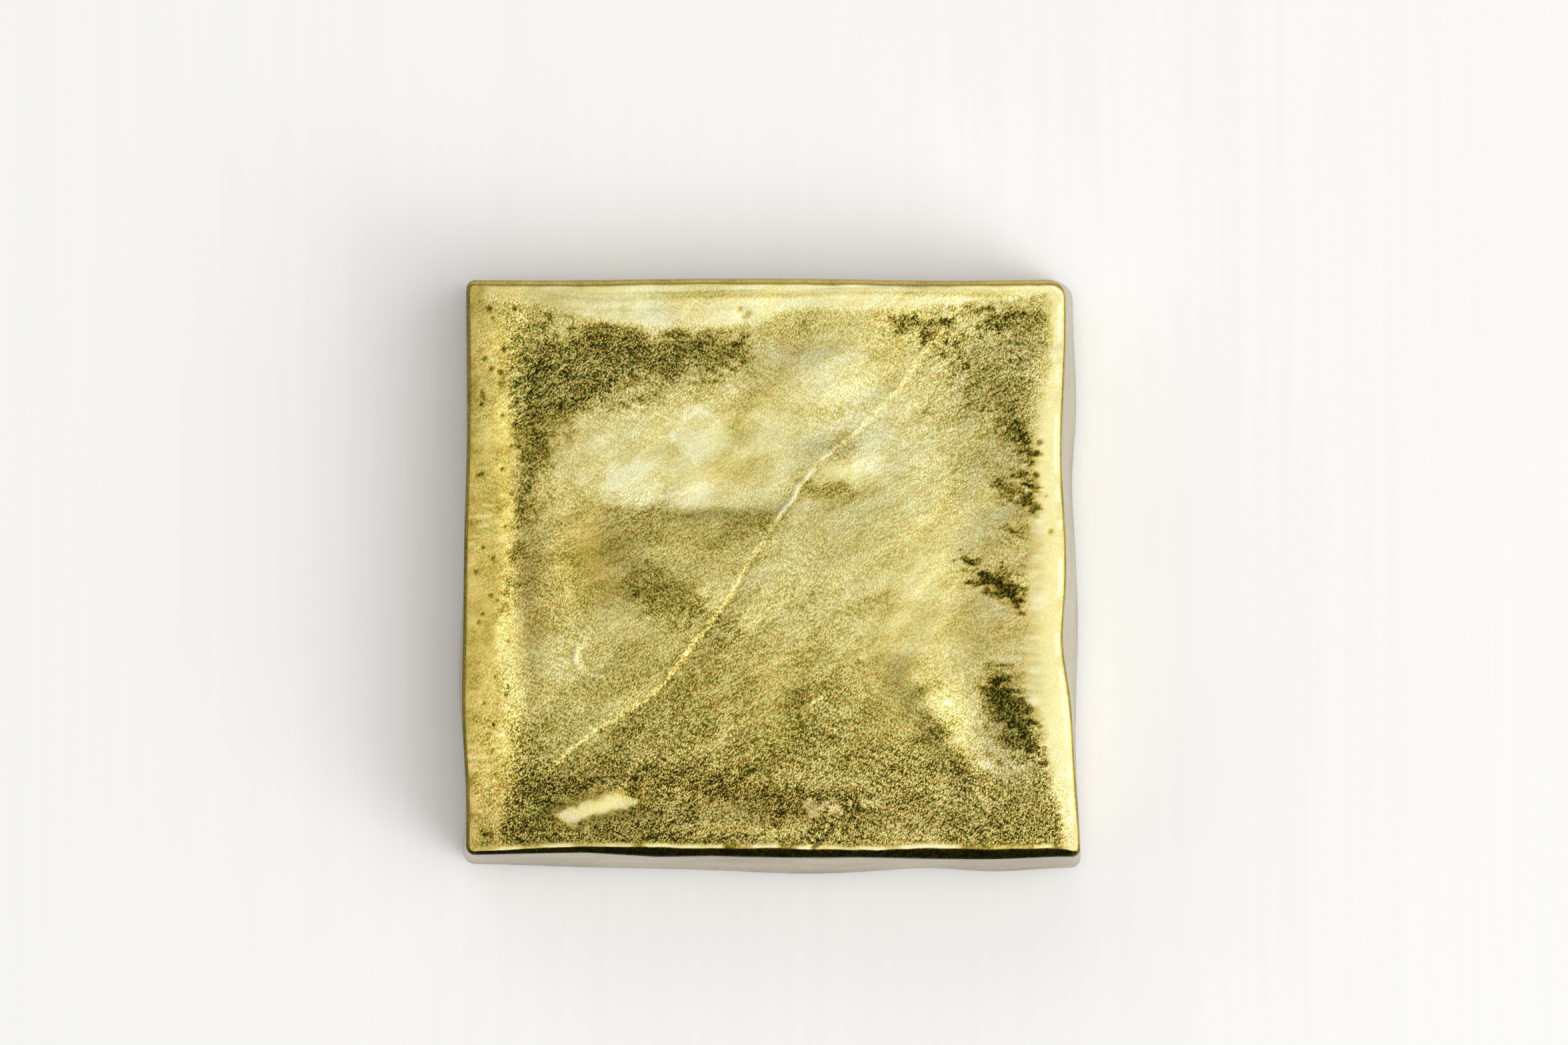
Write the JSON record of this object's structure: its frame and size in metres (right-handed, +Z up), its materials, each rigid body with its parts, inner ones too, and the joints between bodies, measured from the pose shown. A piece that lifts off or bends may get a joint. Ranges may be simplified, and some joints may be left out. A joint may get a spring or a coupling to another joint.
{
  "type": "paperweight",
  "caption": "Solid cast brass paperweight: a nearly square slab with uneven leaning walls, a sunken, creased sand-cast face, and a felt pad let into its ground underside.",
  "frame": {"origin": "Middle of the bounding box, on the surface the felt rests on.", "axes": "+Z up out of the sunken face, +X along the slightly longer side, +Y towards the back."},
  "size_m": [0.07, 0.067, 0.0142],
  "materials": {
    "cast_brass": "raw sand-cast skin, bright and grainy, with darker patches",
    "felt": "dense wool felt, die cut",
    "adhesive": "dried clear-amber transfer film"
  },
  "bodies": {
    "root": {"cast_block": "cast_brass", "felt_pad": "felt", "adhesive_film": "adhesive"}
  },
  "joints": []
}
